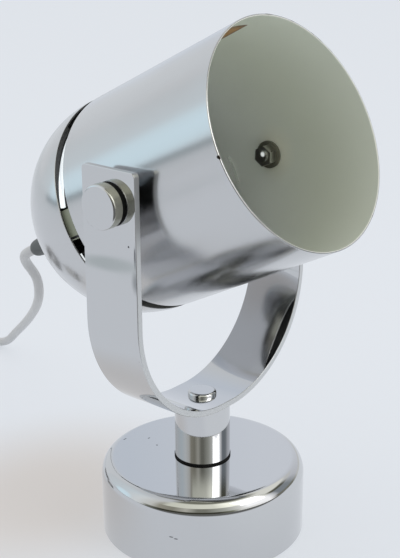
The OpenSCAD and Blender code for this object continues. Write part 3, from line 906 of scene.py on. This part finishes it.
class LAMP_OT_knobs(bpy.types.Operator):
    """Turn both clamping knobs and finish the pivots"""
    bl_idname = "lamp.knobs"
    bl_label = "Knobs"

    def execute(self, context):
        radius = sizes()["knob_radius"]
        inner, outer, bore, depth = 55.15, 59.75, 2.55, 3.2
        inner_round, outer_round = 0.3, 0.75
        profile = softened([(bore, inner), (radius, inner, inner_round), (radius, outer, outer_round),
                            (0.0, outer)])
        profile += [(0.0, inner + depth), (bore, inner + depth)]
        for side, name, body in ((-1, "left", "knob_l"), (1, "right", "knob_r")):
            place = Matrix.Translation(PIVOT) @ Matrix.Rotation(side * math.pi / 2, 4, "Y")
            bm = turned(profile, place, steps=128)
            for face in bm.faces:
                if abs(face.normal.x) < 0.2:
                    face.material_index = 1
            add_piece("knob_" + name + "_turned", bm, body,
                      [chrome(), knob_side()], ["knob_" + name])
        dress(stud_steel(), "pivot_studs")
        dress(steel(), "inner_nuts")
        dress(dark_washer(), "inner_washers")
        return {"FINISHED"}


class LAMP_OT_holder(bpy.types.Operator):
    """Finish the lampholder, the sleeve and the fittings behind it"""
    bl_idname = "lamp.holder"
    bl_label = "Lampholder"

    def execute(self, context):
        dress(black_plastic(), "lampholder_body", "lampholder_ring", "lampholder_cap")
        dress(brass(), "socket_shell", "centre_contact")
        dress(old_steel(), "dome_nut", "nipple")
        dress(cord_plastic(), "inner_cord")
        dress(rubber(), "strain_relief")
        return {"FINISHED"}


class LAMP_OT_plug(bpy.types.Operator):
    """Finish the plug"""
    bl_idname = "lamp.plug"
    bl_label = "Plug"

    def execute(self, context):
        dress(cord_plastic(), "plug_body")
        dress(steel(), "plug_pins")
        return {"FINISHED"}


# stage
def floor_paper():
    """Pale paper with a soft painted shadow beside the lamp; metal also sees the room beyond its edge."""
    material, tree = new_material("pale_floor")
    if tree:
        place = tree.place()
        # the lamp's soft shadow, painted into the floor's colour
        painted_shadow = tree.spot(place, (-30.0, 72.0, 0.0), (88.0, 72.0, 50.0)).ramp(1.25, 0.2)
        tone = tree.blend(painted_shadow, PAPER, SHADOW_PAINT)

        # what polished metal mirrors: the painted shadow more faintly, greyer far away, brighter in front
        far = tree.spot(place, (0.0, 0.0, 0.0), (1500.0, 1500.0, 1500.0)).ramp(0.2, 1.0)
        mirrored = tree.blend(painted_shadow * 0.6, PAPER, SHADOW_PAINT)
        mirrored = tree.blend(far * 0.3, mirrored, (0.60, 0.66, 0.66))
        front = tree.dot(place, (0.3, -0.95, 0.0)).ramp(0.03, 0.09)
        mirrored = tree.blend(front, mirrored, (0.84, 0.875, 0.915))
        # painted dark reflections, seen only in the lamp's metal
        first, others = FLOOR_MIRRORED_DARK[:1], FLOOR_MIRRORED_DARK[1:]
        mirrored_dark = tree.nearest(place, first).ramp(1.15, 0.4) * 0.8
        mirrored_dark = mirrored_dark.most(tree.nearest(place, others).ramp(1.15, 0.2) * 0.45)
        mirrored = tree.blend(mirrored_dark, mirrored, (0.49, 0.55, 0.56))

        # beyond the paper's edge on one side the room begins, and near the camera it is dark
        away = tree.spot(place, (0.0, 0.0, 0.0), (1000.0, 1000.0, 1000.0))
        across = tree.dot(place, (0.85, 0.53, 0.0)) / away
        rim = away.ramp(1.5, 2.4) * across.ramp(-0.45, -0.25) * across.ramp(0.28, 0.16)
        mirrored = tree.blend(rim, mirrored, (0.22, 0.27, 0.29))
        near_dark = tree.dot(place, (-0.6, -0.8, 0.0)).ramp(0.13, 0.20)
        mirrored = tree.blend(near_dark, mirrored, (0.06, 0.055, 0.04))

        # the diffuse paper is also darker in the painted shadow
        paper = tree.blend(painted_shadow, (0.86, 0.895, 0.94), (0.80, 0.77, 0.75))
        diffuse = tree.node("ShaderNodeBsdfDiffuse", {"Color": paper})
        seen, glossy, clear = (tree.ray(kind) for kind in ("Camera", "Glossy", "Transmission"))
        glow = tree.node("ShaderNodeEmission", {"Color": tree.blend(seen, mirrored, tone)})
        share = seen * 0.62 + glossy.most(clear) * 0.85
        mixed = tree.node("ShaderNodeMixShader", {0: share, 1: diffuse, 2: glow})
        tree.node("ShaderNodeOutputMaterial", {"Surface": mixed})
    return material


def sky_room(sky, way):
    """The room's colours as polished metal sees them."""
    x, y, z = sky.parts(way)
    turn = sky.node("ShaderNodeMath", {0: x, 1: 0.0 - y}, operation="ARCTAN2") / math.tau + 0.5
    wall, hall, loft = (sky.node("ShaderNodeValToRGB", {"Fac": turn}, stops=stops)
                        for stops in (ROOM, ROOM_LOW, ROOM_HIGH))
    room = sky.blend(z.ramp(0.62, 0.95), wall, (0.72, 0.74, 0.76))
    room = sky.blend(z.ramp(0.02, -0.12), room, (0.74, 0.77, 0.81))
    # the front half has its own colours near the horizon and high up
    ivory = turn.ramp(0.585, 0.61) * z.ramp(0.60, 0.68)
    loft = sky.blend(ivory, loft, (1.0, 1.0, 0.92))
    loft = sky.blend(z.ramp(0.84, 0.93), loft, (0.24, 0.24, 0.19))
    room = sky.blend(y.ramp(0.5, 0.35) * z.ramp(0.18, 0.10), room, hall)
    room = sky.blend(y.ramp(0.2, 0.0) * z.ramp(0.485, 0.525), room, loft)
    pane = sky.dot(way, PANE).ramp(math.cos(math.radians(15)), math.cos(math.radians(3)))
    return sky.blend(pane, room, (0.88, 1.08, 1.18))


def studio_sky(scene):
    """The world: plain for the camera, the room for metal, soft light for the rest."""
    world = bpy.data.worlds.new("studio")
    scene.world = world
    sky = Tree(world)
    way = sky.node("ShaderNodeTexCoord", output="Generated")
    behind = sky.dot(way, (0.25, 0.95, 0.15)).ramp(-0.8, 0.6)
    soft = sky.blend(behind, (0.50, 0.51, 0.52), (0.94, 0.95, 0.96))
    matt = sky.blend(sky.ray("Camera"), soft, PAPER)
    colour = sky.blend(sky.ray("Glossy"), matt, sky_room(sky, way))
    back = sky.node("ShaderNodeBackground", {"Color": colour})
    sky.node("ShaderNodeOutputWorld", {"Surface": back})


def key_lamp(scene):
    """One broad lamp above the front."""
    data = bpy.data.lights.new("key", "AREA")
    data.energy = 6.0
    data.size = 0.95
    lamp = bpy.data.objects.new("key", data)
    lamp.location = (0.22, -1.45, 1.20)
    aim = Vector((0.0, 0.0, 0.1)) - lamp.location
    lamp.rotation_euler = aim.to_track_quat("-Z", "Y").to_euler()
    scene.collection.objects.link(lamp)


class LAMP_OT_stage(bpy.types.Operator):
    """Lay out the floor, the surroundings and the light"""
    bl_idname = "lamp.stage"
    bl_label = "Stage"

    def execute(self, context):
        scene = context.scene
        scene.view_settings.view_transform = "Standard"
        bm = bmesh.new()
        bmesh.ops.create_grid(bm, x_segments=1, y_segments=1, size=6.0)
        # a little under the cup's rim, so that the two don't share a plane
        bmesh.ops.translate(bm, vec=(0, 0, -0.0002), verts=bm.verts)
        mesh = bpy.data.meshes.new("floor")
        bm.to_mesh(mesh)
        bm.free()
        mesh.materials.append(floor_paper())
        floor = bpy.data.objects.new("floor", mesh)
        scene.collection.objects.link(floor)
        studio_sky(scene)
        key_lamp(scene)
        return {"FINISHED"}


PIECES = (
    LAMP_OT_camera, LAMP_OT_cord, LAMP_OT_cup, LAMP_OT_stem, LAMP_OT_yoke, LAMP_OT_shade,
    LAMP_OT_dome, LAMP_OT_knobs, LAMP_OT_holder, LAMP_OT_plug, LAMP_OT_stage,
)


class LAMP_PT_panel(bpy.types.Panel):
    """Sidebar list of the lamp's pieces"""
    bl_idname = "LAMP_PT_panel"
    bl_label = "Spot Lamp"
    bl_space_type = "VIEW_3D"
    bl_region_type = "UI"
    bl_category = "Spot Lamp"

    def draw(self, context):
        column = self.layout.column()
        for group in (context.scene.lamp_sizes, context.scene.lamp_finish):
            for key in group.__annotations__:
                column.prop(group, key)
        for piece in PIECES:
            column.operator(piece.bl_idname)


CLASSES = (LampSizes, LampFinish, *PIECES, LAMP_PT_panel)


def register():
    for item in CLASSES:
        bpy.utils.register_class(item)
    bpy.types.Scene.lamp_sizes = PointerProperty(type=LampSizes)
    bpy.types.Scene.lamp_finish = PointerProperty(type=LampFinish)


def unregister():
    del bpy.types.Scene.lamp_finish
    del bpy.types.Scene.lamp_sizes
    for item in reversed(CLASSES):
        bpy.utils.unregister_class(item)


def main():
    register()
    for piece in PIECES:
        group, action = piece.bl_idname.split(".")
        getattr(getattr(bpy.ops, group), action)()


if __name__ == "__main__":
    main()
